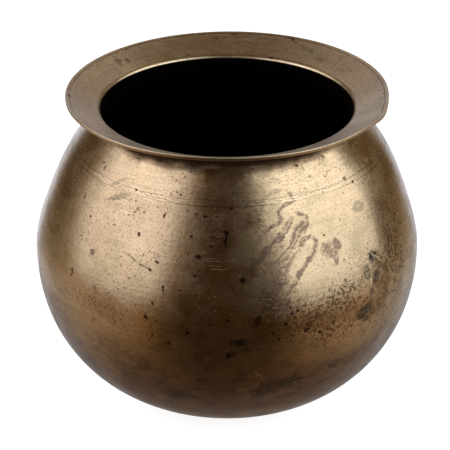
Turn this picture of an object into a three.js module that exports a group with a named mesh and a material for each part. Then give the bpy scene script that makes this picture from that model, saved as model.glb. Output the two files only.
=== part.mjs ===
// A round-bellied brass cooking pot with a flared lip, in millimetres.
// Its axis is Z and it stands on Z = 0. The pot is made of three turned pieces: a bowl, a shoulder whose
// skirt laps inside the bowl's thinned edge, and a flared lip whose spigot stands in the shoulder's opening.
// A ring of brazing metal closes each of the two joints from outside.

import * as THREE from "three";

// Driving dimensions of the outer surface
const BASE_RADIUS = 41; // flat underside that the pot rests on
const BELLY_RADIUS = 125;
const BELLY_HEIGHT = 105;
const SEAM_HEIGHT = 176.7; // middle of the shoulder's seam
const NECK_RADIUS = 87; // where the shoulder's curve straightens towards the neck
const NECK_HEIGHT = 194.5;
const MOUTH_RADIUS = 81.6;
const MOUTH_HEIGHT = 201.2; // the corner between the mouth's wall and the funnel of the lip
const LIP_RADIUS = 104;
const LIP_HEIGHT = 210.7;

// Slopes from the horizontal, and how far each end of a curve keeps its direction
const BASE_SLOPE = THREE.MathUtils.degToRad(9);
const NECK_SLOPE = THREE.MathUtils.degToRad(54);
const BASE_PULL = 39;
const LOWER_BELLY_PULL = 66;
const UPPER_BELLY_PULL = 26;
const NECK_PULL = 18;

// Metal thickness
const WALL = 1.8;
const FLOOR = 2.4;
const LIP_WALL = 2.1;
const EASE = 0.4; // the rim's eased corners
const MOUTH_ROUNDING = 2.6;

// Joints
const GAP = 0.3; // clearance between pieces that touch
const LAP_DEPTH = (WALL - GAP) / 2; // metal that each piece keeps where they lap
const LAP_LENGTH = 9; // how far the skirt reaches below the seam
const SEAM_WIDTH = 3.2;
const SPIGOT_DEPTH = 9; // how far the spigot reaches below the mouth's corner
const FILLET_LEG = 4.2; // reach of the neck's fillet along both of its faces
const FILLET_THROAT = 1.4; // how far the fillet's hollow face is pulled towards the crease

const SEGMENTS = 72;

// The outer surface below and above the belly's widest ring, as half sections: x is radius, y is height.
const lowerCurve = new THREE.CubicBezierCurve(
  new THREE.Vector2(BASE_RADIUS, 0),
  new THREE.Vector2(BASE_RADIUS, 0).add(towards(BASE_SLOPE, BASE_PULL)),
  new THREE.Vector2(BELLY_RADIUS, BELLY_HEIGHT - LOWER_BELLY_PULL),
  new THREE.Vector2(BELLY_RADIUS, BELLY_HEIGHT),
);
const upperCurve = new THREE.CubicBezierCurve(
  new THREE.Vector2(BELLY_RADIUS, BELLY_HEIGHT),
  new THREE.Vector2(BELLY_RADIUS, BELLY_HEIGHT + UPPER_BELLY_PULL),
  new THREE.Vector2(NECK_RADIUS, NECK_HEIGHT).add(towards(-NECK_SLOPE, NECK_PULL)),
  new THREE.Vector2(NECK_RADIUS, NECK_HEIGHT),
);

// The upper face of the lip: the mouth's rounded corner, then the funnel out to the rim.
const lipSlope = Math.atan2(LIP_HEIGHT - MOUTH_HEIGHT, LIP_RADIUS - MOUTH_RADIUS);
const mouthCorner = new THREE.Vector2(MOUTH_RADIUS, MOUTH_HEIGHT);
const funnelStart = mouthCorner.clone().add(towards(lipSlope, MOUTH_ROUNDING));
const mouthCurve = new THREE.QuadraticBezierCurve(
  new THREE.Vector2(MOUTH_RADIUS, MOUTH_HEIGHT - MOUTH_ROUNDING),
  mouthCorner,
  funnelStart,
);

// The crease of the neck, where the shoulder's outer face and the lip's underside meet the spigot.
const spigotRadius = MOUTH_RADIUS + LIP_WALL;
const openingRadius = spigotRadius + GAP;
const shoulderTop = NECK_HEIGHT + (NECK_RADIUS - openingRadius) * Math.tan(NECK_SLOPE);

// Height of the lip's underside at a radius.
function undersideHeight(radius) {
  return MOUTH_HEIGHT + (radius - MOUTH_RADIUS) * Math.tan(lipSlope) - LIP_WALL / Math.cos(lipSlope);
}

// A step of a given length along a slope.
function towards(slope, length) {
  return new THREE.Vector2(Math.cos(slope), Math.sin(slope)).multiplyScalar(length);
}

// Points along a curve from share u0 to share u1 of its length, moved into the metal by depth.
function run(curve, u0, u1, depth, steps) {
  return Array.from({ length: steps + 1 }, (_, i) => {
    const u = THREE.MathUtils.lerp(u0, u1, i / steps);
    const along = curve.getTangentAt(u);
    const inwards = new THREE.Vector2(-along.y, along.x);
    return curve.getPointAt(u).addScaledVector(inwards, depth);
  });
}

// The share of a rising curve's length at which it reaches a height.
function shareAtHeight(curve, height) {
  let low = 0;
  let high = 1;
  while (high - low > 1e-6) {
    const middle = (low + high) / 2;
    if (curve.getPointAt(middle).y < height) low = middle;
    else high = middle;
  }
  return low;
}

// Shares of the upper curve's length at the joint's features.
const upperLength = upperCurve.getLength();
const seam = shareAtHeight(upperCurve, SEAM_HEIGHT);
const clearance = GAP / upperLength;
const bandBottom = seam - SEAM_WIDTH / 2 / upperLength;
const bandTop = seam + SEAM_WIDTH / 2 / upperLength;
const skirtBottom = seam - LAP_LENGTH / upperLength;

// Closes a half section on itself.
function closed(section) {
  return [...section, section[0].clone()];
}

// Turns a half section, which has its metal on the left, round the Z axis into a named piece.
function turned(name, section, material) {
  const geometry = new THREE.LatheGeometry(section, SEGMENTS).rotateX(Math.PI / 2);
  const mesh = new THREE.Mesh(geometry, material);
  mesh.name = name;
  return mesh;
}

function brass() {
  return new THREE.MeshStandardMaterial({ color: 0x9a7442, roughness: 0.38, metalness: 1 });
}

function dullBrass() {
  return new THREE.MeshStandardMaterial({ color: 0xa37e4a, roughness: 0.48, metalness: 1 });
}

function spelter() {
  return new THREE.MeshStandardMaterial({ color: 0x7a5c38, roughness: 0.6, metalness: 1 });
}

// The bowl, from its flat base to the thinned edge that laps over the shoulder's skirt.
function bowlBody() {
  const ledge = skirtBottom - clearance;
  const edge = bandBottom - clearance;
  const insideWall = [...run(upperCurve, ledge, 0, WALL, 6), ...run(lowerCurve, 1, 0, WALL, 11).slice(1)];
  const section = [
    new THREE.Vector2(0, 0),
    ...run(lowerCurve, 0, 1, 0, 12),
    ...run(upperCurve, 0, edge, 0, 7).slice(1),
    ...run(upperCurve, edge, ledge, LAP_DEPTH, 1),
    ...insideWall.filter((point) => point.y > FLOOR),
    new THREE.Vector2(BASE_RADIUS, FLOOR),
    new THREE.Vector2(0, FLOOR),
  ];
  return turned("bowl_body", section, brass());
}

// The shoulder, from the skirt inside the bowl's edge to the opening round the lip's spigot.
function shoulder() {
  const bandEnd = bandTop + clearance;
  const [innerNeck] = run(upperCurve, 1, 1, WALL, 1);
  const innerTop = innerNeck.y + (innerNeck.x - openingRadius) * Math.tan(NECK_SLOPE);
  const section = closed([
    ...run(upperCurve, skirtBottom, bandEnd, LAP_DEPTH + GAP, 2),
    ...run(upperCurve, bandEnd, 1, 0, 5),
    new THREE.Vector2(openingRadius, shoulderTop),
    new THREE.Vector2(openingRadius, innerTop),
    ...run(upperCurve, 1, skirtBottom, WALL, 5),
  ]);
  return turned("shoulder", section, brass());
}

// The flared lip: a spigot, a funnel, and a square-cut rim with eased corners.
function flaredLip() {
  const spigotBottom = MOUTH_HEIGHT - SPIGOT_DEPTH;
  const section = closed([
    new THREE.Vector2(spigotRadius, spigotBottom),
    new THREE.Vector2(spigotRadius, undersideHeight(spigotRadius)),
    new THREE.Vector2(LIP_RADIUS - EASE, undersideHeight(LIP_RADIUS - EASE)),
    new THREE.Vector2(LIP_RADIUS, undersideHeight(LIP_RADIUS) + EASE),
    new THREE.Vector2(LIP_RADIUS, LIP_HEIGHT - EASE),
    new THREE.Vector2(LIP_RADIUS - EASE, LIP_HEIGHT),
    ...run(mouthCurve, 1, 0, 0, 5),
    new THREE.Vector2(MOUTH_RADIUS, spigotBottom),
  ]);
  return turned("flared_lip", section, dullBrass());
}

// The band of brazing metal that fills the groove over the lap.
function shoulderBraze() {
  const section = closed([
    ...run(upperCurve, bandBottom, bandTop, 0, 2),
    ...run(upperCurve, bandTop, bandBottom, LAP_DEPTH, 2),
  ]);
  return turned("shoulder_braze", section, spelter());
}

// The hollow fillet of brazing metal in the crease between the shoulder and the lip.
function neckBraze() {
  const lowEdge = new THREE.Vector2(openingRadius, shoulderTop)
    .add(towards(-NECK_SLOPE, FILLET_LEG))
    .add(towards(Math.PI / 2 - NECK_SLOPE, GAP));
  const highEdge = new THREE.Vector2(openingRadius, undersideHeight(openingRadius))
    .add(towards(lipSlope, FILLET_LEG))
    .add(towards(lipSlope - Math.PI / 2, GAP));
  const throat = new THREE.Vector2(openingRadius + FILLET_THROAT, (lowEdge.y + highEdge.y) / 2);
  const section = closed([
    new THREE.Vector2(openingRadius, shoulderTop + GAP / Math.cos(NECK_SLOPE)),
    ...new THREE.QuadraticBezierCurve(lowEdge, throat, highEdge).getPoints(4),
    new THREE.Vector2(openingRadius, undersideHeight(openingRadius) - GAP / Math.cos(lipSlope)),
  ]);
  return turned("neck_braze", section, spelter());
}

const pot = new THREE.Group();
pot.add(bowlBody(), shoulder(), flaredLip(), shoulderBraze(), neckBraze());

export default pot;
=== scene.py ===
"""The looks of an old brass cooking pot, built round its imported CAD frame. Metres, +Z up."""

import math

import bpy
import numpy as np
from mathutils import Matrix, Vector


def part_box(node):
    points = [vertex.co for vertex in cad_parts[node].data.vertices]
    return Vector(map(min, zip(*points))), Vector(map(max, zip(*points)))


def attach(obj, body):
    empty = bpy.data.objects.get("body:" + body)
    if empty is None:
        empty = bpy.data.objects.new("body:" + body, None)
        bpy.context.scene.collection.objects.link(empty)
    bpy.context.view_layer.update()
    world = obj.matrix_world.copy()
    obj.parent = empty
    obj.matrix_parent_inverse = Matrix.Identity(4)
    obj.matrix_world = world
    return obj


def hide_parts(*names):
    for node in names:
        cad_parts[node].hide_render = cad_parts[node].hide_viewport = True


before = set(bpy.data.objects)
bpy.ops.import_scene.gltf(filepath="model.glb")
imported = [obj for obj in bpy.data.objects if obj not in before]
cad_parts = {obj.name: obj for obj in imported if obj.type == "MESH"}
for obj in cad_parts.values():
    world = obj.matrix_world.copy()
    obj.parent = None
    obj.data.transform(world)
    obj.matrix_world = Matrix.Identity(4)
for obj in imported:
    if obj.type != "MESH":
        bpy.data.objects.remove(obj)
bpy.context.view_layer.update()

MM = 0.001

# Sizes that the frame gives
BOWL_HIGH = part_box("bowl_body")[1]
SKIRT_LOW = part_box("shoulder")[0]
LIP_LOW, LIP_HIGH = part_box("flared_lip")
BAND_LOW, BAND_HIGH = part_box("shoulder_braze")
FILLET_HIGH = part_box("neck_braze")[1]
BELLY_RADIUS = BOWL_HIGH.x
LIP_RADIUS = LIP_HIGH.x
LIP_HEIGHT = LIP_HIGH.z

# Driving dimensions of the outline, the same as the CAD part's
BASE_RADIUS = 0.041
BELLY_HEIGHT = 0.105
NECK_RADIUS = 0.087
NECK_HEIGHT = 0.1945
MOUTH_RADIUS = 0.0816
MOUTH_HEIGHT = 0.2012
BASE_SLOPE = math.radians(9)
NECK_SLOPE = math.radians(54)
BASE_PULL = 0.039
LOWER_BELLY_PULL = 0.066
UPPER_BELLY_PULL = 0.026
NECK_PULL = 0.018
WALL = 0.0018
FLOOR = 0.0024
LIP_WALL = 0.0021
MOUTH_ROUNDING = 0.0026
LAP_DEPTH = 0.00075
LAP_GAP = 0.1 * MM

# Fine shapes that only the looks have
OUTLINE_STEP = 0.2 * MM
PUNCH_RADIUS = 1 * MM
PUNCH_DEPTH = 0.5 * MM
BASE_RINGS = (0.013, 0.029)
BASE_RING_HALF_WIDTH = 0.5 * MM
BASE_RING_HEIGHT = 0.25 * MM
RIM_EASE_BELOW = 0.45 * MM
RIM_EASE_ABOVE = 0.9 * MM
GROOVE_DEPTH = 0.12 * MM
GROOVE_ROW = 3        # rows of the lip's upper face in from the rim
FILE_LINES = 90
FILE_SLANT = 19

# Points round each mesh
BOWL_SIDES = 600
SHOULDER_SIDES = 720
LIP_SIDES = 960
BAND_SIDES = 20 * FILE_LINES
FILLET_SIDES = 720


# ---------------------------------------------------------------- outlines

def towards(slope, length):
    return np.array([math.cos(slope), math.sin(slope)]) * length


def bezier(points, steps=240):
    """Points of a Bezier curve of any degree."""
    t = np.linspace(0, 1, steps)[:, None]
    rows = [np.repeat(np.array([p], float), steps, 0) for p in points]
    while len(rows) > 1:
        rows = [a * (1 - t) + b * t for a, b in zip(rows, rows[1:])]
    return rows[0]


def lengths(points):
    """How far along the line each point is."""
    return np.concatenate([[0], np.cumsum(np.linalg.norm(np.diff(points, axis=0), axis=1))])


def even(points, step):
    """The same line with its points a step apart."""
    along = lengths(points)
    places = np.linspace(0, along[-1], max(2, round(along[-1] / step) + 1))
    return np.column_stack([np.interp(places, along, points[:, i]) for i in (0, 1)])


def inwards(points, depth):
    """The line moved into the metal, which lies on its left."""
    d = np.gradient(points, axis=0)
    d /= np.linalg.norm(d, axis=1)[:, None]
    return points + np.column_stack([-d[:, 1], d[:, 0]]) * depth


def below(points, height):
    return points[points[:, 1] <= height]


def above(points, height):
    return points[points[:, 1] >= height]


lower_wall = bezier([
    (BASE_RADIUS, 0),
    np.array([BASE_RADIUS, 0]) + towards(BASE_SLOPE, BASE_PULL),
    (BELLY_RADIUS, BELLY_HEIGHT - LOWER_BELLY_PULL),
    (BELLY_RADIUS, BELLY_HEIGHT),
])
upper_wall = bezier([
    (BELLY_RADIUS, BELLY_HEIGHT),
    (BELLY_RADIUS, BELLY_HEIGHT + UPPER_BELLY_PULL),
    np.array([NECK_RADIUS, NECK_HEIGHT]) + towards(-NECK_SLOPE, NECK_PULL),
    (NECK_RADIUS, NECK_HEIGHT),
])
wall = even(np.vstack([lower_wall, upper_wall[1:]]), OUTLINE_STEP)
lip_slope = math.atan2(LIP_HEIGHT - MOUTH_HEIGHT, LIP_RADIUS - MOUTH_RADIUS)


def wall_radius(height):
    return float(np.interp(height, wall[:, 1], wall[:, 0]))


# ---------------------------------------------------------------- turned meshes

def turned(name, section, around, shape=None, closed=True, inside=None, edge=None):
    """Turns a section round Z. shape moves the points: it takes azimuth, radius and height, and gives
    radius and height. For each point of the section, inside says how much soot and painted shade it
    has, from 0 to 1, and edge is 1 where it is rubbed bright and -1 where dirt lies."""
    section = np.asarray(section, float)
    azimuth = np.arange(around) / around * 2 * math.pi
    on_axis = [] if closed else [0, len(section) - 1]
    radius = np.repeat(section[:, 0][:, None], around, 1)
    height = np.repeat(section[:, 1][:, None], around, 1)
    angle = np.repeat(azimuth[None, :], len(section), 0)
    if shape:
        radius, height = shape(angle, radius, height)
    # azimuth 0 faces the camera, along -Y, and grows towards +X
    points = np.stack([radius * np.sin(angle), -radius * np.cos(angle), height], -1)
    marks = {"inside": inside or [0.0] * len(section), "edge": edge or [0.0] * len(section)}
    values = {name: [] for name in marks}
    vertices = []
    index = np.zeros((len(section), around), int)
    for row in range(len(section)):
        if row in on_axis:
            index[row] = len(vertices)
            vertices.append((0, 0, float(section[row, 1])))
        else:
            index[row] = np.arange(around) + len(vertices)
            vertices.extend(map(tuple, points[row]))
        for mark, rows in marks.items():
            values[mark].extend([rows[row]] * (len(vertices) - len(values[mark])))
    faces = []
    rows = range(len(section)) if closed else range(len(section) - 1)
    for row in rows:
        a = index[row]
        b = index[(row + 1) % len(section)]
        for i in range(around):
            j = (i + 1) % around
            ring = [a[i], a[j], b[j], b[i]]
            faces.append(tuple(dict.fromkeys(ring)))
    mesh = bpy.data.meshes.new(name)
    mesh.from_pydata(vertices, [], faces)
    for mark, numbers in values.items():
        mesh.attributes.new(mark, "FLOAT", "POINT").data.foreach_set("value", numbers)
    mesh.validate()
    mesh.shade_smooth()
    mesh.set_sharp_from_angle(angle=math.radians(50))
    piece = bpy.data.objects.new(name, mesh)
    bpy.context.scene.collection.objects.link(piece)
    return piece


def degrees_from(angle, centre):
    """How far each azimuth is from centre, both ways round, in degrees."""
    return (np.degrees(angle) - centre + 180) % 360 - 180


def hump(distance, width):
    """1 at no distance, falling off smoothly over width."""
    return np.exp(-(distance / width) ** 2)


# shallow dents and one small burr: azimuth in degrees, height, reach and depth in mm
DENTS = [
    (-62, 128, 20, 0.25), (-50, 96, 22, 0.30), (-31, 160, 18, 0.20), (-12, 122, 24, 0.25),
    (4, 92, 18, 0.22), (24, 112, 20, 0.25), (38, 150, 20, 0.22), (48, 118, 22, 0.32),
    (58, 165, 16, 0.20), (141, 90, 28, 0.45), (168, 150, 20, 0.35), (-158, 110, 26, 0.40),
    (-101, 84, 22, 0.35), (86, 61, 2.6, -0.55),
]


def worn(angle, radius, height):
    """A body that is no longer quite round. It only moves inwards where the belly is widest."""
    moved = 0.06 * MM * (1 + np.cos(2 * angle)) + 0.04 * MM * (1 + np.sin(3 * angle + 2.1))
    moved = moved * np.clip((NECK_HEIGHT - height) / 0.03, 0, 1) * np.clip(height / 0.03, 0, 1)
    up = height / MM
    full_right = hump(degrees_from(angle, 88), 40) * hump(up - 168, 26)
    full_left = hump(degrees_from(angle, -88), 38) * hump(up - 166, 20)
    moved -= (3.0 * full_right + 1.3 * full_left) * MM * np.clip((NECK_HEIGHT - height) / 0.012, 0, 1)
    for azimuth, centre, reach, depth in DENTS:
        across = np.radians(degrees_from(angle, azimuth)) * radius / MM
        moved += depth * MM * np.exp(-(across ** 2 + (up - centre) ** 2) / reach ** 2)
    return radius - moved, height


def bent(angle, radius, height):
    """The rim as use has left it: knocked down and outwards at the right front, pushed to the right
    at the back."""
    reach = np.clip((radius - MOUTH_RADIUS - LIP_WALL) / (LIP_RADIUS - MOUTH_RADIUS - LIP_WALL), 0, 1)
    knock = hump(degrees_from(angle, 71), 8)
    swell = hump(degrees_from(angle, -68), 14)
    flat = hump(degrees_from(angle, 48), 13)
    nick = hump(degrees_from(angle, -89), 0.7) + 0.7 * hump(degrees_from(angle, 118), 0.8)
    push = 2.2 * np.sin(angle) * np.clip(-np.cos(angle), 0, 1)
    outwards = 1.0 * knock + 0.3 * swell - 0.6 * flat - 0.5 * nick * reach ** 6 + push
    sag = hump(np.abs(degrees_from(angle, 0)) - 42, 17)
    down = 1.3 * knock + 0.12 * (1 - np.cos(2 * angle)) + 0.55 * sag
    return radius + outwards * reach * MM, height - down * reach * MM


def roped(angle, radius, height):
    """The solder band: worn like the wall, filed along with slightly slanting lines."""
    radius, height = worn(angle, radius, height)
    share = (height - BAND_LOW.z) / (BAND_HIGH.z - BAND_LOW.z)
    twist = np.cos(angle * FILE_LINES + share * FILE_SLANT)
    crown = np.clip(1 - (2 * share - 1) ** 2, 0, 1)
    return radius - (0.012 * (1 - twist) * crown + 0.10 * (1 - crown) ** 4) * MM, height


def lumpy(angle, radius, height):
    """The neck fillet, uneven by a few tenths of a millimetre."""
    lump = 0.5 * np.sin(angle * 23 + 1.0) + 0.3 * np.sin(angle * 41 + 2.2) + 0.2 * np.sin(angle * 67)
    face = np.clip((radius - MOUTH_RADIUS - LIP_WALL) / (1 * MM), 0, 1)
    return radius - 0.12 * (1 + lump) * face * MM, height


def bowl():
    outside = below(wall, BAND_LOW.z)
    lap = above(outside, SKIRT_LOW.z)
    inner = inwards(below(wall, SKIRT_LOW.z), WALL)
    inner = inner[inner[:, 1] > FLOOR]
    punch = [(0, PUNCH_DEPTH), (PUNCH_RADIUS, 0)]
    rings = [
        (radius + step * BASE_RING_HALF_WIDTH, rise * BASE_RING_HEIGHT)
        for radius in BASE_RINGS
        for step, rise in ((-1, 0), (0, 1), (1, 0))
    ]
    outer = np.vstack([punch, rings, even(outside, 2.2 * MM)])
    inner = np.vstack([
        even(inwards(lap, LAP_DEPTH), 3 * MM)[::-1],
        even(inner, 4 * MM)[::-1],
        [(BASE_RADIUS * 0.9, FLOOR), (BASE_RADIUS * 0.4, FLOOR), (0, FLOOR)],
    ])
    # the inner rows take soot and painted shade
    soot_and_shade = [0.0] * len(outer) + [1.0] * len(inner)
    return turned("bowl_skin", np.vstack([outer, inner]), BOWL_SIDES, worn, closed=False, inside=soot_and_shade)


def shoulder():
    opening = MOUTH_RADIUS + LIP_WALL + LAP_GAP
    rise = math.tan(NECK_SLOPE)

    def at_opening(end):
        """Where the neck's slope, carried on from end, meets the opening."""
        return (opening, end[1] + (end[0] - opening) * rise)

    outside = above(wall[wall[:, 1] > BELLY_HEIGHT], BAND_HIGH.z)
    outer = even(np.vstack([outside, [at_opening(wall[-1])]]), 0.8 * MM)
    skirt = wall[(wall[:, 1] >= SKIRT_LOW.z) & (wall[:, 1] < BAND_HIGH.z)]
    lap = even(inwards(skirt, LAP_DEPTH + LAP_GAP), 2 * MM)
    inner = inwards(above(wall, SKIRT_LOW.z), WALL)
    inner = np.vstack([[at_opening(inner[-1])], even(inner, 1.6 * MM)[::-1]])
    # the inner rows take soot and painted shade
    soot_and_shade = [0.0] * (len(lap) + len(outer)) + [1.0] * len(inner)
    return turned("shoulder_skin", np.vstack([lap, outer, inner]), SHOULDER_SIDES, worn, inside=soot_and_shade)


def flared_lip():
    spigot_bottom = LIP_LOW.z
    spigot = MOUTH_RADIUS + LIP_WALL
    drop = LIP_WALL / math.cos(lip_slope)

    def under(radius):
        """The height of the lip's lower face."""
        return MOUTH_HEIGHT + (radius - MOUTH_RADIUS) * math.tan(lip_slope) - drop

    mouth = np.array([MOUTH_RADIUS, MOUTH_HEIGHT])
    corner = bezier([mouth - (0, MOUTH_ROUNDING), mouth, mouth + towards(lip_slope, MOUTH_ROUNDING)], 12)
    rim_low = bezier([
        (LIP_RADIUS - RIM_EASE_BELOW, under(LIP_RADIUS - RIM_EASE_BELOW)),
        (LIP_RADIUS, under(LIP_RADIUS)),
        (LIP_RADIUS, under(LIP_RADIUS) + RIM_EASE_BELOW),
    ], 5)
    rim_high = bezier([
        (LIP_RADIUS, LIP_HEIGHT - RIM_EASE_ABOVE),
        (LIP_RADIUS, LIP_HEIGHT),
        (LIP_RADIUS - RIM_EASE_ABOVE, LIP_HEIGHT - RIM_EASE_ABOVE * math.tan(lip_slope)),
    ], 7)
    lower_face = even(np.array([(spigot, under(spigot)), rim_low[0]]), 1.6 * MM)
    upper_face = even(np.array([rim_high[-1], corner[-1]]), 0.5 * MM)[1:]
    upper_face[GROOVE_ROW, 1] -= GROOVE_DEPTH
    groove_dirt = [0.0] * len(upper_face)
    groove_dirt[GROOVE_ROW] = -0.6
    side = np.linspace(rim_low[-1], rim_high[0], 4)[1:3]
    below_corner = (MOUTH_RADIUS, MOUTH_HEIGHT - MOUTH_ROUNDING - 1.2 * MM)
    parts = [    # points, soot with painted shade, and edge of each stretch
        ([(spigot, spigot_bottom)], [0], [0]),
        (lower_face, [0] * len(lower_face), [0] * len(lower_face)),
        (rim_low[1:], [0] * 4, [0.4, 0.7, 0.7, 0.2]),
        (side, [0] * 2, [-0.2, -0.2]),
        (rim_high, [0] * 7, [0.2, 0.6, 1, 1, 0.7, 0.2, 0]),
        (upper_face, [0] * len(upper_face), groove_dirt),
        (corner[::-1][1:], [0] * 6 + [0.5] + [1] * 4, [0, 0, 0, 0.4, 0.9, 1, 0.8] + [0] * 4),
        ([below_corner, (MOUTH_RADIUS, spigot_bottom)], [1] * 2, [0] * 2),
    ]
    section = np.vstack([points for points, soot_and_shade, edge in parts])
    soot_and_shade = [value for points, soot_and_shade, edge in parts for value in soot_and_shade]
    edge = [value for points, soot_and_shade, edge in parts for value in edge]
    return turned("lip_skin", section, LIP_SIDES, bent, inside=soot_and_shade, edge=edge)


def shoulder_band():
    run = wall[(wall[:, 1] >= BAND_LOW.z) & (wall[:, 1] <= BAND_HIGH.z)]
    back = even(inwards(run, LAP_DEPTH - 0.05 * MM), 1.6 * MM)[::-1]
    section = np.vstack([even(run, 0.22 * MM), back])
    return turned("shoulder_braze_skin", section, BAND_SIDES, roped)


def neck_fillet():
    opening = MOUTH_RADIUS + LIP_WALL + LAP_GAP
    low = np.array([NECK_RADIUS - 0.4 * MM, NECK_HEIGHT + 0.7 * MM])
    high = np.array([NECK_RADIUS + 0.8 * MM, NECK_HEIGHT + 6.8 * MM])
    face = bezier([low, (opening + 1.4 * MM, (low[1] + high[1]) / 2), high], 8)
    back_low = (opening, NECK_HEIGHT + 4.3 * MM)
    back_high = (opening, NECK_HEIGHT + 5.4 * MM)
    section = np.vstack([[back_low], face, [back_high]])
    return turned("neck_braze_skin", section, FILLET_SIDES, lumpy)


# ---------------------------------------------------------------- shader nodes

class Shade:
    """The nodes of one material. Inputs are numbers or sockets."""

    def __init__(self, name):
        self.material = bpy.data.materials.new(name)
        self.material.use_nodes = True
        self.tree = self.material.node_tree
        self.shader = self.tree.nodes["Principled BSDF"]
        self.place = self.node("ShaderNodeTexCoord").outputs["Object"]

    def put(self, socket, value):
        if isinstance(value, bpy.types.NodeSocket):
            self.tree.links.new(value, socket)
        elif value is not None:
            socket.default_value = value

    def node(self, kind, inputs=(), **settings):
        made = self.tree.nodes.new(kind)
        for key, value in settings.items():
            setattr(made, key, value)
        for socket, value in zip(made.inputs, inputs):
            self.put(socket, value)
        return made

    def math(self, operation, *inputs):
        return self.node("ShaderNodeMath", inputs, operation=operation).outputs[0]

    def add(self, first, second):
        return self.math("ADD", first, second)

    def minus(self, first, second):
        return self.math("SUBTRACT", first, second)

    def times(self, first, second):
        return self.math("MULTIPLY", first, second)

    def larger(self, first, second):
        return self.math("MAXIMUM", first, second)

    def vector(self, operation, *inputs):
        made = self.node("ShaderNodeVectorMath", operation=operation)
        sockets = (made.inputs[0], made.inputs["Scale"]) if operation == "SCALE" else made.inputs
        for socket, value in zip(sockets, inputs):
            self.put(socket, value)
        return made.outputs["Value" if operation in ("LENGTH", "DOT_PRODUCT") else "Vector"]

    def parts(self, vector):
        return self.node("ShaderNodeSeparateXYZ", [vector]).outputs

    def join(self, x, y, z):
        return self.node("ShaderNodeCombineXYZ", [x, y, z]).outputs[0]

    def noise(self, where, scale=1.0, detail=2.0, output="Fac"):
        made = self.node("ShaderNodeTexNoise")
        self.put(made.inputs["Vector"], where)
        self.put(made.inputs["Scale"], scale)
        self.put(made.inputs["Detail"], detail)
        return made.outputs[output]

    def span(self, value, low, high, start=0.0, end=1.0):
        """start where value is low, end where it is high, and a smooth step between."""
        inputs = [value, low, high, start, end]
        return self.node("ShaderNodeMapRange", inputs, interpolation_type="SMOOTHSTEP").outputs[0]

    def swayed(self, value, pattern, amount):
        """value, moved by half of amount either way as pattern goes from 0 to 1."""
        return self.add(value, self.times(self.minus(pattern, 0.5), amount))

    def blend(self, amount, first, second, kind="MIX"):
        made = self.node("ShaderNodeMix", data_type="RGBA", blend_type=kind)
        self.put(made.inputs[0], amount)
        for socket, colour in ((made.inputs[6], first), (made.inputs[7], second)):
            self.put(socket, colour if isinstance(colour, bpy.types.NodeSocket) else (*colour, 1))
        return made.outputs[2]

    def bump(self, height, depth, normal=None):
        """Raises the surface by depth metres times height."""
        made = self.node("ShaderNodeBump")
        self.put(made.inputs["Distance"], depth)
        self.put(made.inputs["Height"], height)
        self.put(made.inputs["Normal"], normal)
        return made.outputs[0]


# ---------------------------------------------------------------- marks on the brass

class Mark:
    """A patch of one kind. Azimuth and tilt in degrees, height and half sizes in mm."""

    def __init__(
        self, kind, azimuth, height, half_length, half_width=None, tilt=0, strength=1.0, hollow=0.0
    ):
        self.kind = kind
        self.azimuth = math.radians(azimuth)
        self.height = height * MM
        self.halves = (half_length * MM, (half_width or half_length) * MM)
        self.tilt = math.radians(tilt)
        self.strength = strength
        self.hollow = hollow

    def frame(self):
        """The centre, on the outer wall or the lip's upper face, and the turn to the patch's own axes."""
        if self.height > FILLET_HIGH.z:
            radius = MOUTH_RADIUS + (self.height - MOUTH_HEIGHT) / math.tan(lip_slope)
            rise = towards(lip_slope, 1)
        else:
            radius = wall_radius(self.height)
            rise = np.array([wall_radius(self.height + MM) - radius, MM])
            rise /= np.linalg.norm(rise)
        sine = math.sin(self.azimuth)
        cosine = math.cos(self.azimuth)
        across = Vector((cosine, sine, 0))
        up = Vector((rise[0] * sine, -rise[0] * cosine, rise[1]))
        axes = Matrix((across, up, across.cross(up))).transposed() @ Matrix.Rotation(self.tilt, 3, "Z")
        return (radius * sine, -radius * cosine, self.height), axes.to_euler()

    def mask(self, shade, warped):
        """The share of the patch at each place. A hollow patch is a ring."""
        centre, turn = self.frame()
        halves = np.array([*self.halves, max(self.halves) * 1.5])
        inputs = [warped, centre, turn, halves * 2]
        local = shade.node("ShaderNodeMapping", inputs, vector_type="TEXTURE")
        near = shade.node("ShaderNodeTexGradient", local.outputs, gradient_type="SPHERICAL").outputs["Fac"]
        if self.hollow:    # near is 1 at the centre and 0.5 at the edge
            away = shade.math("ABSOLUTE", shade.minus(near, 0.5 + self.hollow / 2))
            return shade.span(away, self.hollow * 0.25, self.hollow * 0.5, self.strength, 0)
        return shade.span(near, 0.40, 0.70, 0, self.strength)


def trail(kind, points, half_width, strength=1.0):
    """A line of overlapping patches through points of (azimuth, height)."""
    made = []
    for (a, h), (b, k) in zip(points, points[1:]):
        middle = ((a + b) / 2, (h + k) / 2)
        run = math.radians(b - a) * wall_radius(middle[1] * MM) / MM
        widening = (wall_radius(k * MM) - wall_radius(h * MM)) / MM
        rise = math.copysign(math.hypot(widening, k - h), k - h)
        half_length = math.hypot(run, rise) / 2 + half_width
        tilt = math.degrees(math.atan2(rise, run))
        made.append(Mark(kind, *middle, half_length, half_width, tilt, strength))
    return made


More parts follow.
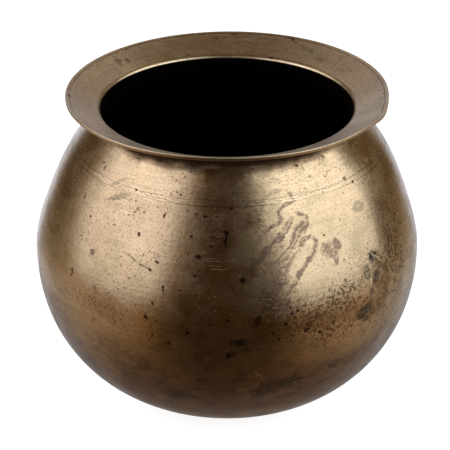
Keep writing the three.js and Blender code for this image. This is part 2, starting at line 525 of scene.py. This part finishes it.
MARKS = [
    # tide lines and brushed stains right of the middle
    *trail("stain", [(23, 181), (25, 176), (18, 172), (19, 166), (12, 160)], 1.3, 0.8),
    *trail("stain", [(21, 183), (15, 180), (11, 176)], 1.5, 0.5),
    *trail("stain", [(12, 160), (8, 150)], 1.1, 0.6),
    *trail("stain", [(22, 164), (19, 159), (15, 154), (9, 144)], 2.4, 1.5),
    *trail("stain", [(26, 161), (23, 156), (20, 151)], 3.0, 1.6),
    *trail("stain", [(25, 168), (28, 164), (27, 158)], 1.6, 0.9),
    *trail("stain", [(21, 151), (25, 151)], 2.2, 0.8),
    Mark("stain", 15, 136, 10, 22, -26, 0.65),
    *trail("stain", [(25, 153), (28, 155), (30, 151), (28, 144), (23, 136), (21, 131)], 1.9, 0.9),
    *trail("stain", [(21, 131), (18, 122), (15, 113)], 2.0, 0.7),
    *trail("stain", [(17, 131), (14, 123), (11, 113)], 1.9, 0.7),
    *trail("stain", [(22, 121), (19, 112), (15, 103)], 1.0, 0.9),
    *trail("stain", [(19, 121), (16, 112), (12, 103)], 1.3, 0.9),
    *trail("stain", [(16, 119), (13, 110)], 1.2, 0.8),
    Mark("stain", 32.5, 146, 3.4, 3.6, 0, 1.3),
    Mark("stain", 37, 146, 2.8, 3.6, 0, 1.3),
    Mark("stain", 35, 141, 3.6, 4.2, 0, 1.4),
    Mark("stain", 35.5, 136, 2.0, 2.8, 0, 1.0),
    Mark("stain", 34.5, 144, 7.0, 6.0, 0, 0.5),
    Mark("stain", 34, 186, 3.2, 1.5, 10, 0.6),
    Mark("stain", 18, 188, 2.6, 1.1, 0, 0.5),
    Mark("grey", 14, 192, 4.2, 2.6, 5, 0.6, 0.5),
    Mark("grey", 50, 161, 5.0, 4.4, -20, 0.8, 0.45),
    Mark("grey", 50, 161, 4.2, 3.6, -20, 0.15),
    Mark("stain", -7, 167, 4.0, 4.0, 0, 0.4, 0.3),
    Mark("stain", -12, 165, 3.0, 1.8, 0, 0.4),
    *trail("stain", [(19, 134), (15, 127), (12, 120)], 2.6, 0.6),
    *trail("stain", [(22, 146), (18, 140), (15, 134)], 2.0, 0.5),
    *trail("stain", [(23, 118), (19, 110), (16, 104)], 2.2, 0.45),
    Mark("grime", 42, 101, 18, 8, 0, 0.75),
    Mark("grime", 52, 118, 10, 16, 0, 0.95),
    Mark("grime", 49, 102, 15, 10, 0, 0.95),
    Mark("grime", 28, 103, 16, 6, 0, 0.5),
    Mark("grime", -38, 107, 20, 9, 0, 0.35),
    Mark("grime", 58, 150, 8, 26, -8, 0.35),
    # green-grey corrosion
    Mark("green", 50, 131, 4.8, 4.2, -15, 1.0),
    Mark("green", 46, 123, 3.2, 6.0, 10, 1.0),
    Mark("green", 50, 118, 5.0, 4.0, 30, 0.9),
    Mark("green", 47, 111, 3.0, 4.0, 0, 0.8),
    Mark("green", 44, 97, 6.5, 6.5, -20, 1.0),
    Mark("green", 3, 93.5, 6.5, 3.0, 5, 1.0),
    Mark("green", 1, 84, 3.4, 3.0, 40, 1.0),
    Mark("green", 5, 88, 2.5, 2.0, 40, 0.7),
    Mark("green", 20, 58, 10.0, 6.0, 15, 0.75),
    Mark("green", 11, 52, 9.0, 6.0, 0, 0.7),
    Mark("green", 35, 64, 5.5, 3.6, 10, 0.6),
    Mark("green", -16, 47, 12.0, 7.0, -10, 0.5),
    Mark("green", -34, 60, 14.0, 8.0, -20, 0.35),
    # smudges and rubbed lines on the left shoulder
    *trail("grey", [(-48, 175), (-41, 181)], 1.2, 0.7),
    *trail("grey", [(-47, 167.5), (-38, 174)], 1.7, 0.9),
    *trail("pit", [(-47, 166.5), (-41, 171)], 0.5, 0.4),
    *trail("bare", [(-58, 177.5), (-46, 174)], 0.35, 0.8),
    *trail("bare", [(-56, 180), (-48, 176.5)], 0.3, 0.7),
    *trail("bare", [(-40, 165), (-30, 164)], 0.4, 0.5),
    # what filing has left bright along the seam
    *trail("bare", [(10, 176.2), (22, 176.4), (34, 176.5), (47, 176.7)], 0.32, 0.6),
    *trail("bare", [(17, 178.0), (32, 178.1), (46, 178.2)], 0.28, 0.5),
    *trail("bare", [(-38, 178.6), (-28, 177.6), (-18, 176.4)], 0.32, 0.65),
    *trail("bare", [(-36, 176.8), (-27, 175.9), (-17, 174.4)], 0.32, 0.65),
    *trail("bare", [(-34, 175.2), (-26, 174.2)], 0.28, 0.6),
    *trail("pit", [(16, 177.1), (31, 177.3), (46, 177.5)], 0.3, 0.4),
    *trail("pit", [(-37, 177.6), (-28, 176.7), (-18, 175.4)], 0.3, 0.4),
    *trail("bare", [(49, 134), (55, 122), (59, 108)], 0.4, 0.6),
    *trail("bare", [(53, 132), (58, 121)], 0.35, 0.5),
    # a painted glint: one speck of bright bare brass where a glint shows
    Mark("bare", 1.8, 146.4, 0.8, 1.3),
    *trail("bare", [(8, 72), (12, 59)], 0.40, 0.5),
    *trail("bare", [(48, 119), (47, 113)], 0.7, 1.0),
    *trail("bare", [(-66, 95), (-46, 98), (-30, 92)], 2.0, 0.16),
    # scored lines
    *trail("pit", [(-34, 143), (-29, 138), (-24, 136)], 0.45, 0.75),
    *trail("pit", [(53, 127), (58, 112)], 0.45, 0.6),
    *trail("pit", [(42, 190), (50, 182)], 0.4, 0.35),
    # a run of soot, spots and pits
    Mark("pit", -0.5, 161, 2.1, 1.7, 0, 1.0),
    *trail("pit", [(-0.5, 160), (-0.4, 152.5)], 0.9, 1.0),
    Mark("pit", 1.4, 173.5, 1.2),
    Mark("pit", 4.5, 134, 2.1, 2.1, 0, 1.0),
    Mark("pit", -8, 134, 3.3, 3.3, 0, 0.45),
    Mark("pit", -9, 147, 2.0, 1.6, -30),
    Mark("pit", -22, 141, 1.8, 1.2, 5),
    Mark("pit", -24, 136, 1.6, 0.9, 5),
    Mark("pit", -24, 106.5, 1.3, 2.6, 10),
    Mark("pit", -21, 105, 1.0),
    Mark("pit", -11.5, 99.5, 1.7, 1.4),
    Mark("pit", -17, 91, 1.6, 1.2, -20),
    Mark("pit", -19, 126, 0.9, 2.3),
    Mark("pit", -22, 117, 1.0, 1.6),
    Mark("pit", -14, 128, 1.5, 0.6, 20),
    Mark("pit", -53, 119, 0.9, 3.2, 5, 0.8),
    Mark("stain", -46, 136, 2.9, 2.2, 40, 0.95),
    Mark("pit", -42, 115, 2.6, 0.8, 0, 0.6),
    Mark("pit", 0, 109, 1.6, 1.2),
    Mark("pit", 9, 109, 2.0, 4.6, 0, 0.8),
    Mark("pit", 13, 99, 1.5, 1.1),
    Mark("pit", 15, 93.5, 1.4, 1.2),
    Mark("pit", 17, 104, 1.3, 1.6),
    Mark("pit", 19, 111, 1.7, 1.3),
    Mark("pit", 21, 112, 1.6, 1.3),
    Mark("pit", 24, 98, 2.3, 1.0, 15),
    Mark("pit", 28, 94, 1.6, 0.8),
    Mark("pit", 32, 98, 1.4, 1.4),
    Mark("pit", 27, 89, 0.8, 1.9),
    Mark("pit", 19, 91.5, 0.9),
    Mark("pit", -56, 184, 0.9, 1.2),
    Mark("pit", -54, 182, 0.8, 1.6),
    Mark("pit", -57, 162, 0.8, 2.4, 20),
    Mark("pit", -39, 195, 2.6, 1.0, 10, 0.8),
    Mark("pit", -22, 167.5, 1.1),
    Mark("pit", -33, 165.5, 1.0),
    Mark("pit", -30, 154.5, 1.1),
    Mark("pit", -18, 181, 1.2, 0.8),
    Mark("pit", -36, 177.5, 1.0),
    Mark("pit", -51, 154, 0.9),
    Mark("pit", -7, 170, 1.8, 0.8, 10),
    Mark("pit", -11, 171, 1.6, 0.6),
    Mark("pit", -3.5, 170, 1.4, 0.8),
    Mark("pit", -5, 157.5, 1.6, 0.6),
    Mark("pit", -5, 153.5, 1.4, 0.9),
    Mark("pit", -12, 158, 0.9),
    Mark("pit", 30, 193, 1.2, 1.0),
    Mark("pit", 33, 153.5, 1.1),
    Mark("pit", 52, 174.5, 0.9),
    Mark("pit", 49, 178.5, 1.3, 1.5, 0, 0.7),
    # on the lip's upper face
    Mark("stain", -130, 206.5, 2.4, 4.4, 20, 0.8),
    Mark("stain", -134, 205.5, 1.6, 2.4, 0, 0.7),
    Mark("pit", 177, 209.5, 2.4, 1.0, 0, 0.6),
    Mark("stain", 154, 209.5, 6.0, 1.6, 35, 0.8),
    Mark("stain", 146, 207.5, 7.0, 2.2, 20, 0.55),
    Mark("stain", 138, 205.5, 5.0, 2.0, 10, 0.45),
    Mark("pit", 159, 201.8, 2.6, 1.0, 0, 0.8),
    Mark("stain", -88, 209.8, 1.2, 3.0, 0, 0.9),
    Mark("stain", 128, 206.5, 20, 9, 0, 0.3),
    Mark("stain", 170, 208, 24, 6, 0, 0.22),
    Mark("stain", -120, 204, 16, 5, 0, 0.22),
]


# ---------------------------------------------------------------- materials

WARM_BRASS = (0.74, 0.585, 0.385)
LIP_BRASS = (0.66, 0.50, 0.32)
DULL_BRASS = (0.51, 0.395, 0.245)
OLIVE_BRASS = (0.54, 0.46, 0.26)
BURNT_BRASS = (0.20, 0.139, 0.125)
LINE_SHADE = (0.62, 0.58, 0.54)
GRAIN_SHADE = (0.60, 0.53, 0.46)
STAIN = (0.165, 0.105, 0.086)
PIT = (0.062, 0.030, 0.021)
FRECKLE = (0.13, 0.060, 0.032)
GRIME = (0.20, 0.125, 0.062)
GREEN = (0.050, 0.052, 0.042)
GREY = (0.27, 0.22, 0.15)
LOW_PATCH = (0.10, 0.072, 0.070)
BARE = (0.90, 0.78, 0.55)
# dark brown for dirt in the neck and the lip's groove, and for the painted shadow under the lip
RESIDUE_AND_SHADE = (0.07, 0.03, 0.02)
# the inside: soot darkened further with painted shade, near black up the walls, browner on the floor
SOOT_AND_SHADE = (0.006, 0.004, 0.003)
OLD_SOOT_AND_SHADE = (0.075, 0.052, 0.037)
STROKE_ACROSS = 560        # brushed stains, in strokes per metre across and along
STROKE_ALONG = 50
STROKE = Mark("stain", 16, 154, 1, 1, 50).frame()[1].to_matrix().col[0]    # the way they run

# the most that noise moves a pattern, and how far past a piece's heights its marks are taken from
DRIFT = 0.0060
RAGGEDNESS = 0.0020
MARK_REACH = 0.012

# heights in metres: burnt brown all over below the first, and not at all above the second
BURNT_FULL = 0.045
BURNT_NONE = 0.118

# where pits gather: centre, reach and strength
CROWDED = [
    ((0.068, -0.100, 0.103), (0.050, 0.050, 0.030), 0.52),
    ((0.110, -0.060, 0.125), (0.030, 0.050, 0.050), 0.30),
    ((-0.075, -0.095, 0.106), (0.050, 0.045, 0.017), 0.20),
]


class Brass(Shade):
    """Old turned brass. Each step lays one kind of age over the tone so far. low and high bound the
    marks that reach the piece, in metres."""

    def __init__(self, name, low, high):
        super().__init__(name)
        self.near = [m for m in MARKS if low - MARK_REACH < m.height < high + MARK_REACH]
        self.x, self.y, self.z = self.parts(self.place)
        self.radius = self.vector("LENGTH", self.join(self.x, self.y, 0.0))
        # a little noise moves every pattern, so that no edge is even
        drift = self.shaken(110, 2, DRIFT)
        ragged = self.shaken(620, 1, RAGGEDNESS)
        moved = self.vector("ADD", self.place, drift)
        self.warped = self.node("ShaderNodeMapping", [moved, ragged]).outputs[0]
        self.fine_lines = self.turning(3000, 60)
        self.broad_lines = self.turning(700, 16)
        self.clouds = self.noise(self.place, 22, 3)
        self.blotches = self.noise(self.warped, 70, 3)

    def shaken(self, per_metre, detail, most):
        """A small vector that changes from place to place."""
        colour = self.noise(self.place, per_metre, detail, "Color")
        return self.vector("SCALE", self.vector("SUBTRACT", colour, (0.5, 0.5, 0.5)), most)

    def turning(self, per_metre, round_pot):
        """Lines from turning: short along the outline, long round the pot."""
        outwards = self.add(self.times(self.radius, per_metre), self.times(self.x, round_pot))
        upwards = self.times(self.z, per_metre)
        return self.noise(self.join(outwards, upwards, self.times(self.y, round_pot)), 1.0, 2)

    def metal(self, colour, dull):
        """Metal with cloudy tarnish, the lines of turning and a fine grain."""
        grain = self.noise(self.vector("MULTIPLY", self.place, (330, 330, 900)), 1, 2)
        tone = self.blend(self.span(self.clouds, 0.38, 0.66, 0, dull), colour, DULL_BRASS)
        tone = self.blend(self.span(self.blotches, 0.48, 0.72, 0, 0.45), tone, OLIVE_BRASS)
        tone = self.blend(self.span(self.broad_lines, 0.45, 0.75, 0, 0.12), tone, BURNT_BRASS)
        tone = self.blend(self.span(self.fine_lines, 0.52, 0.78, 0, 0.22), tone, BURNT_BRASS)
        return self.blend(self.span(grain, 0.55, 0.8, 0, 0.22), tone, BURNT_BRASS)

    def burnt_share(self):
        uneven = self.swayed(self.z, self.clouds, 0.07)
        return self.span(uneven, BURNT_FULL, BURNT_NONE, 0.95, 0)

    def burn(self, tone, burnt):
        """Burnt brown with darker patches, and turning lines that show more where it is burnt."""
        tone = self.blend(burnt, tone, BURNT_BRASS)
        patches = self.times(self.span(self.noise(self.warped, 95, 3), 0.46, 0.66, 0, 0.55), burnt)
        tone = self.blend(patches, tone, LOW_PATCH)
        lines = self.span(self.turning(820, 40), 0.42, 0.74)
        lines = self.times(lines, self.add(self.times(burnt, 0.4), 0.24))
        tone = self.blend(lines, tone, LINE_SHADE, "MULTIPLY")
        grain = self.span(self.noise(self.place, 950, 1), 0.46, 0.74, 0, 0.6)
        return self.blend(grain, tone, GRAIN_SHADE, "MULTIPLY")

    # dirt and painted shadow in a band just under the lip, where the lip shades the neck
    def neck_dirt_and_shade(self, residue_and_shade):
        crowd = self.swayed(self.z, self.blotches, 0.012)
        return self.span(crowd, 0.1915, 0.1985, 0, 0.9 * residue_and_shade)

    def crowding(self):
        """Higher where pits and freckles gather: in patches, and more of them low on the right."""
        total = None
        for centre, reach, most in CROWDED:
            inputs = [self.place, centre, (0, 0, 0), reach]
            away = self.node("ShaderNodeMapping", inputs, vector_type="TEXTURE").outputs[0]
            zone = self.span(self.vector("LENGTH", away), 0.2, 1.15, most, 0)
            total = zone if total is None else self.add(total, zone)
        return self.add(self.noise(self.place, 34, 2), total)

    def pits(self, crowding, per_metre, size, rarity):
        """Round pits in cells. Few cells hold one, and more do where crowding is high."""
        cells = self.node("ShaderNodeTexVoronoi", feature="F1")
        self.put(cells.inputs["Vector"], self.warped)
        self.put(cells.inputs["Scale"], per_metre)
        chance = self.add(self.parts(cells.outputs["Color"])[0], self.times(crowding, 1.2))
        reach = self.times(size, self.span(chance, rarity, rarity + 0.5))
        return self.span(self.minus(reach, cells.outputs["Distance"]), 0.0, 0.13)

    def freckles(self, crowding):
        gathered = self.times(self.minus(crowding, 0.5), 0.36)
        fine = self.span(self.add(self.noise(self.warped, 900, 1), gathered), 0.67, 0.79, 0, 0.7)
        large = self.span(self.add(self.noise(self.warped, 430, 2), gathered), 0.67, 0.76, 0, 0.85)
        return self.larger(fine, large)

    def marks(self, kind, top=0.0):
        """The listed marks of one kind, over top."""
        for mark in self.near:
            if mark.kind == kind:
                top = self.larger(top, mark.mask(self, self.warped))
        return top

    def strokes(self):
        """Fine strokes that break up the brushed stains."""
        along = self.vector("DOT_PRODUCT", self.place, STROKE)
        swept = self.vector("SCALE", STROKE, self.times(along, STROKE_ALONG - STROKE_ACROSS))
        brushed = self.vector("ADD", self.vector("SCALE", self.warped, STROKE_ACROSS), swept)
        return self.span(self.noise(brushed, 1, 2), 0.38, 0.58, 0.22, 1.0)

    def hairlines(self, turn, along, across, width):
        inputs = [self.place, (0, 0, 0), turn, (along, across, across)]
        line = self.node("ShaderNodeMapping", inputs).outputs[0]
        return self.span(self.math("ABSOLUTE", self.minus(self.noise(line, 1, 0), 0.5)), 0, width, 1, 0)

    def scratches(self):
        """Hairline scratches in patches."""
        first = self.hairlines(turn=(0.3, 0.9, 0.5), along=25, across=420, width=0.012)
        second = self.hairlines(turn=(1.1, -0.6, 0.2), along=20, across=300, width=0.010)
        both = self.larger(first, second)
        return self.times(both, self.span(self.noise(self.place, 60, 1), 0.5, 0.68))

    def attribute(self, name):
        return self.node("ShaderNodeAttribute", attribute_name=name).outputs["Fac"]

    def edges(self, tone):
        """Edges rubbed bright, and dirt in the groove."""
        edge = self.attribute("edge")
        wear = self.span(self.noise(self.place, 140, 2), 0.35, 0.55, 0.55, 0.95)
        tone = self.blend(self.times(self.span(edge, 0.2, 0.8), wear), tone, BARE)
        return self.blend(self.times(self.span(edge, -0.1, -0.5), wear), tone, RESIDUE_AND_SHADE)

    def tipped(self, grain):
        """The normal, tipped up and down by the turning lines, so that lights smear along the outline
        and stay sharp across it."""
        normal = self.node("ShaderNodeNewGeometry").outputs["Normal"]
        around = self.vector("NORMALIZE", self.join(self.times(self.y, -1.0), self.x, 0.0))
        outline = self.vector("CROSS_PRODUCT", normal, around)
        fine = self.times(self.minus(self.fine_lines, 0.5), 0.24 * grain)
        tip = self.add(fine, self.times(self.minus(self.broad_lines, 0.5), 0.05 * grain))
        return self.vector("NORMALIZE", self.vector("ADD", normal, self.vector("SCALE", outline, tip)))

    def relief(self, pits, scratches, normal):
        height = self.times(self.noise(self.place, 260, 3), 0.35)
        height = self.minus(height, self.times(pits, 0.35))
        height = self.minus(height, self.times(scratches, 0.10))
        return self.bump(height, 0.00022, normal)


def brass(name, low, high, rough=0.245, grain=1.0, colour=WARM_BRASS, dull=0.35, residue_and_shade=1.0):
    """The material of one piece. rough is its roughness where it is cleanest; grain, dull and the last
    argument say how much it shows of turning lines, tarnish, and dirt and painted shadow under the lip."""
    s = Brass(name, low, high)
    tone = s.metal(colour, dull)
    burnt = s.burnt_share()
    tone = s.burn(tone, burnt)
    # dirt and painted shadow just under the lip
    under_lip_dirt_and_shade = s.neck_dirt_and_shade(residue_and_shade)
    tone = s.blend(under_lip_dirt_and_shade, tone, RESIDUE_AND_SHADE)

    crowding = s.crowding()
    small_pits = s.times(s.pits(crowding, per_metre=520, size=0.26, rarity=1.02), 0.75)
    large_pits = s.pits(crowding, per_metre=250, size=0.24, rarity=1.50)
    random_pits = s.larger(small_pits, large_pits)
    freckles = s.freckles(crowding)

    stains = s.marks("stain")
    green = s.marks("green")
    grey = s.marks("grey")
    bare = s.marks("bare")
    grime = s.times(s.marks("grime"), s.span(s.noise(s.warped, 330, 2), 0.38, 0.62, 0.45, 1.0))
    pitted = s.marks("pit", random_pits)
    mottle = s.span(s.noise(s.warped, 480, 2), 0.36, 0.60, 0.30, 1.0)
    stained = s.math("MINIMUM", s.times(stains, s.strokes()), 0.8)
    greened = s.times(green, mottle)
    tone = s.blend(freckles, tone, FRECKLE)
    tone = s.blend(grime, tone, GRIME)
    tone = s.blend(stained, tone, STAIN)
    tone = s.blend(s.times(grey, 0.8), tone, GREY)
    tone = s.blend(greened, tone, GREEN)
    tone = s.blend(pitted, tone, PIT)

    scratches = s.scratches()
    tone = s.blend(s.larger(bare, s.times(scratches, 0.35)), tone, BARE)
    tone = s.edges(tone)

    gloss = s.span(s.blotches, 0.3, 0.75, rough - 0.03, rough + 0.07)
    gloss = s.add(gloss, s.times(burnt, 0.12))
    gloss = s.add(gloss, s.times(stained, 0.10))
    gloss = s.add(gloss, s.times(s.larger(greened, pitted), 0.08))
    gloss = s.add(gloss, s.times(under_lip_dirt_and_shade, 0.3))

    # soot and painted shade inside, older and browner towards the floor
    inside = s.attribute("inside")
    tone = s.blend(inside, tone, s.blend(s.span(s.z, 0.030, 0.105), OLD_SOOT_AND_SHADE, SOOT_AND_SHADE))
    gloss = s.larger(gloss, s.times(inside, 0.85))

    shaped = s.relief(random_pits, scratches, s.tipped(grain))
    s.put(s.shader.inputs["Base Color"], tone)
    s.put(s.shader.inputs["Metallic"], 1.0)
    s.put(s.shader.inputs["Roughness"], gloss)
    s.put(s.shader.inputs["Normal"], shaped)
    s.put(s.shader.inputs["Coat Weight"], s.span(inside, 0, 1, 0.02, 0))
    s.put(s.shader.inputs["Coat Roughness"], 0.3)
    return s.material


# ---------------------------------------------------------------- the pot

def place(piece, node, material):
    piece.data.materials.append(material)
    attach(piece, "root")
    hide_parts(node)


place(bowl(), "bowl_body", brass("bowl brass", 0, BOWL_HIGH.z))
place(
    shoulder(), "shoulder",
    brass("shoulder brass", SKIRT_LOW.z, NECK_HEIGHT, rough=0.225),
)
place(
    flared_lip(), "flared_lip",
    brass("lip brass", MOUTH_HEIGHT + 0.012, LIP_HEIGHT,
          rough=0.34, grain=0.5, colour=LIP_BRASS, dull=0.6, residue_and_shade=0.0),
)
place(
    shoulder_band(), "shoulder_braze",
    brass("band spelter", BAND_LOW.z, BAND_HIGH.z, rough=0.24),
)
place(
    neck_fillet(), "neck_braze",
    brass("neck spelter", NECK_HEIGHT, NECK_HEIGHT, rough=0.45, grain=0.3, dull=0.8),
)


# ---------------------------------------------------------------- studio

CAMERA_DISTANCE = 1.968
CAMERA_ELEVATION = math.radians(25.6)
CAMERA_TARGET = Vector((-0.0013, 0, 0.1154))
LENS = 240
SENSOR = 36
FLOOR_HALF_WIDTH = 12.0
PANEL_MIDDLE = 33.0        # elevation at which a leaning side is where it says

# tints of the studio's light
WHITE = (1.0, 1.0, 1.0)
ROSY = (1.0, 0.945, 0.965)
COOL = (0.92, 0.98, 1.16)
FRONT_SHADE = (1.0, 0.48, 0.08)
LOW_FRONT_SHADE = (1.0, 0.54, 0.20)
BACK_SHADE = (1.0, 0.64, 0.28)


def camera():
    data = bpy.data.cameras.new("camera")
    data.lens = LENS
    data.sensor_width = SENSOR
    data.clip_end = 50
    made = bpy.data.objects.new("camera", data)
    bpy.context.scene.collection.objects.link(made)
    back = Vector((0, -math.cos(CAMERA_ELEVATION), math.sin(CAMERA_ELEVATION)))
    made.location = CAMERA_TARGET + back * CAMERA_DISTANCE
    made.rotation_euler = (math.pi / 2 - CAMERA_ELEVATION, 0, 0)
    bpy.context.scene.camera = made


def floor():
    mesh = bpy.data.meshes.new("floor")
    side = FLOOR_HALF_WIDTH
    corners = [(-side, -side, 0), (side, -side, 0), (side, side, 0), (-side, side, 0)]
    mesh.from_pydata(corners, [], [(0, 1, 2, 3)])
    made = bpy.data.objects.new("floor", mesh)
    bpy.context.scene.collection.objects.link(made)
    material = bpy.data.materials.new("floor")
    material.use_nodes = True
    shader = material.node_tree.nodes["Principled BSDF"]
    shader.inputs["Base Color"].default_value = (0.9, 0.9, 0.9, 1)
    shader.inputs["Roughness"].default_value = 0.9
    shader.inputs["Emission Color"].default_value = (1, 1, 1, 1)
    shader.inputs["Emission Strength"].default_value = 0.86
    mesh.materials.append(material)
    made.visible_glossy = False


class Sky(Shade):
    """The same node helpers, for the world. All angles are in degrees. Azimuth is 0 on the camera's
    side and grows to the right."""

    def __init__(self):
        world = bpy.data.worlds.new("studio")
        bpy.context.scene.world = world
        world.use_nodes = True
        self.tree = world.node_tree
        self.place = self.node("ShaderNodeTexCoord").outputs["Generated"]
        self.background = self.tree.nodes["Background"]
        self.x, self.y, self.z = self.parts(self.place)
        to_degrees = 180 / math.pi
        self.azimuth = self.times(self.math("ARCTAN2", self.x, self.times(self.y, -1.0)), to_degrees)
        self.turn = self.math("ABSOLUTE", self.azimuth)
        self.elevation = self.times(self.math("ARCSINE", self.z), to_degrees)

    def panel(self, azimuth, near, lean, far, soft, strength):
        """A tall softbox from azimuth near to far. Its near side leans by lean degrees a degree."""
        leaning = self.add(azimuth, self.times(self.add(self.elevation, -PANEL_MIDDLE), lean))
        inner = self.span(leaning, near - soft, near + soft)
        outer = self.span(azimuth, far - soft, far + soft, 1, 0)
        return self.times(self.times(inner, outer), strength)

    def softboxes(self):
        """One on each side, fading out towards the floor and cut off above."""
        right = self.panel(self.azimuth, near=28.5, lean=0.30, far=104, soft=3, strength=1.52)
        leftwards = self.times(self.azimuth, -1.0)
        left = self.panel(leftwards, near=35.5, lean=0.25, far=106, soft=15, strength=1.40)
        boxes = self.add(right, left)
        top = self.span(self.elevation, 41, 58, 1, 0)
        rise = self.span(self.elevation, -15, 12, 0.18, 0.88)
        fade = self.add(rise, self.span(self.elevation, 12, 35, 0, 0.12))
        fade = self.times(fade, self.span(self.elevation, -75, -15, 0.0, 1.0))
        return self.times(self.times(boxes, top), fade)

    def surroundings(self):
        """A pale wall behind, the lit floor round the pot, and a soft ceiling towards the back."""
        behind = self.times(self.span(self.y, 0.82, 0.90), self.span(self.x, -0.35, 0.35, 0.60, 0.39))
        sides = self.times(self.span(self.turn, 15, 150), self.span(self.elevation, -6, -22))
        ground = self.times(sides, self.span(self.elevation, -60, -36, 0.15, 0.33))
        overhead = self.times(self.span(self.elevation, 24, 40), self.span(self.y, 0.42, 0.64, 0, 0.50))
        ground = self.add(ground, self.times(self.span(self.elevation, -38, -60), 0.065))
        falling = self.span(self.elevation, -10, -30)
        low_behind = self.times(falling, self.span(self.elevation, -55, -36, 0, 0.19))
        ground = self.add(ground, self.times(self.span(self.turn, 120, 150), low_behind))
        return behind, ground, overhead


def studio():
    """Plain soft light, seen only in reflections. The camera itself sees white."""
    s = Sky()
    boxes = s.softboxes()
    behind, ground, overhead = s.surroundings()
    bright = s.add(s.add(boxes, behind), s.add(ground, overhead))
    dark = s.span(s.turn, 20, 120, 0.033, s.span(s.x, -0.5, 0.5, 0.09, 0.13))
    front_shade = s.blend(s.span(s.elevation, -18, -42), FRONT_SHADE, LOW_FRONT_SHADE)
    shade = s.blend(s.span(s.turn, 40, 110), front_shade, BACK_SHADE)
    rosy = s.blend(s.span(s.x, -0.45, 0.05), ROSY, WHITE)
    lit = s.blend(s.span(s.y, 0.72, 0.90), rosy, COOL)
    pale = s.larger(s.span(boxes, 0.0, 0.56), s.span(s.minus(bright, boxes), 0.0, 0.5))
    tint = s.blend(pale, shade, lit)
    seen = s.node("ShaderNodeLightPath").outputs["Is Camera Ray"]
    strength = s.add(bright, dark)
    s.put(s.background.inputs["Color"], s.blend(seen, tint, WHITE))
    s.put(s.background.inputs["Strength"], s.add(s.times(strength, s.minus(1.0, seen)), seen))


camera()
floor()
studio()

view = bpy.context.scene.view_settings
view.view_transform = "Standard"
view.look = "None"
